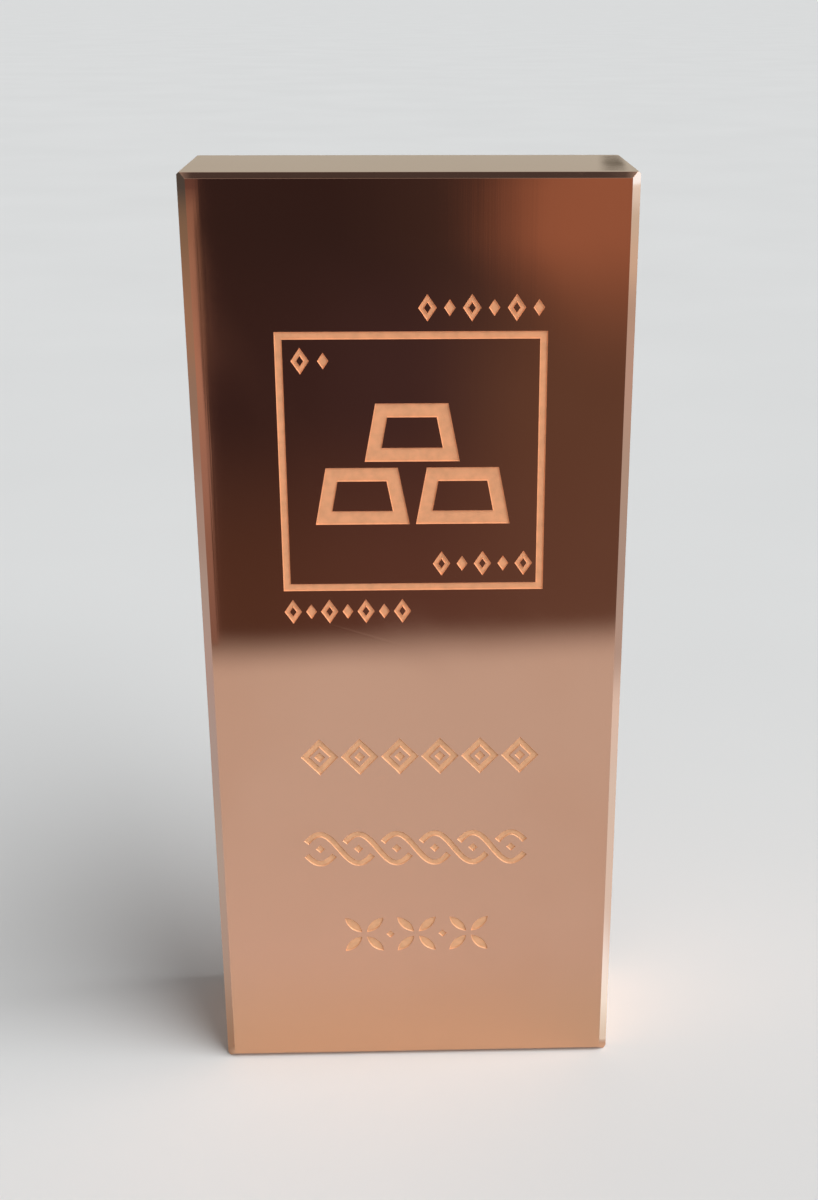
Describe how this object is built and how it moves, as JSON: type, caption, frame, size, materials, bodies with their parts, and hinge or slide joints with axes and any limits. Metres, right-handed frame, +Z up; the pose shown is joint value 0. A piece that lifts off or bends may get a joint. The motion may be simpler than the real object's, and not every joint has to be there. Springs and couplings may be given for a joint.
{
  "type": "copper ingot",
  "caption": "Rectangular polished copper ingot with chamfered edges and an engraved broad face, standing on one end.",
  "frame": {"origin": "middle of the end that the ingot stands on, at floor level", "axes": "+Z up along the ingot's length, +X along its width, +Y through its thickness towards the plain back; the marked broad face looks towards -Y"},
  "size_m": [0.05, 0.02, 0.1125],
  "materials": {
    "polished_copper": "mirror polished copper, with etched marks on one broad face"
  },
  "bodies": {
    "root": {"copper_bar": "polished_copper"}
  },
  "joints": []
}
